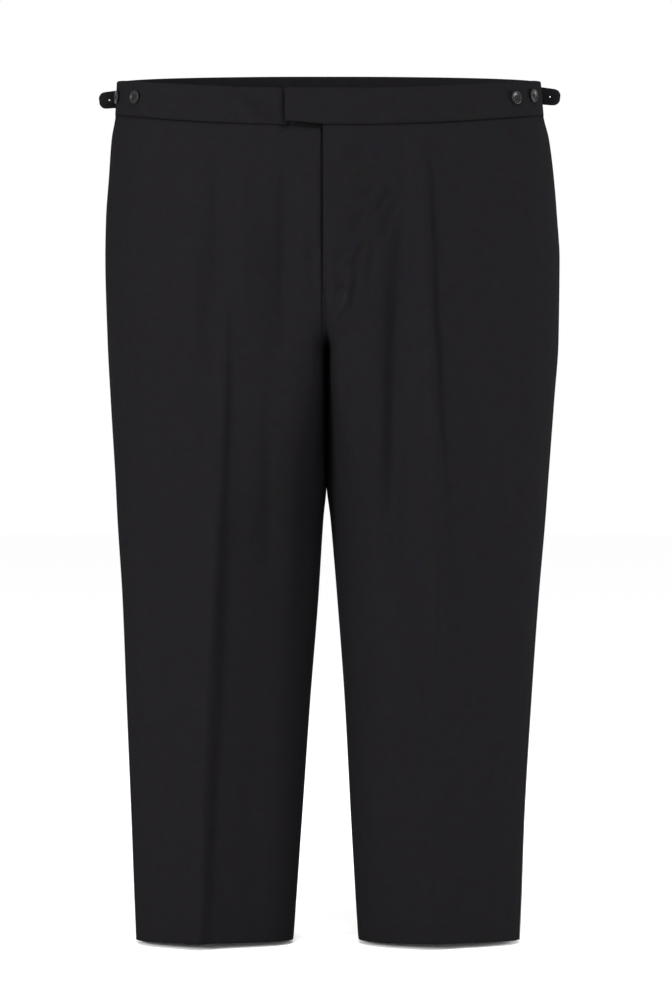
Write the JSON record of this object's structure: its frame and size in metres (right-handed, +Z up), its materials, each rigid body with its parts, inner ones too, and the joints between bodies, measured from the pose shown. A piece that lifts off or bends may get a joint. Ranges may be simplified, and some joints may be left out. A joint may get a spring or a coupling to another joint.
{
  "type": "dress trousers",
  "caption": "Filled-out dress trousers with a plain waistband, fly front, side adjuster tabs, pressed creases and satin braid down the side seams.",
  "frame": {"origin": "middle of the waist opening, half way up the waistband at the side seams", "axes": "+Z up, the front faces -Y, +X is the wearer's left"},
  "size_m": [0.5443, 0.2737, 1.0284],
  "materials": {
    "wool": "matt worsted twill",
    "satin_braid": "satin weave with a soft sheen",
    "button_resin": "polished dark resin, dished"
  },
  "bodies": {
    "root": {"front_right": "wool", "front_left": "wool", "back_right": "wool", "back_left": "wool", "waistband_right": "wool", "waistband_left": "wool", "adjuster_right": "wool", "adjuster_left": "wool", "stripe_right": "satin_braid", "stripe_left": "satin_braid", "button_right_front": "button_resin", "button_right_side": "button_resin", "button_left_front": "button_resin", "button_left_side": "button_resin"}
  },
  "joints": []
}
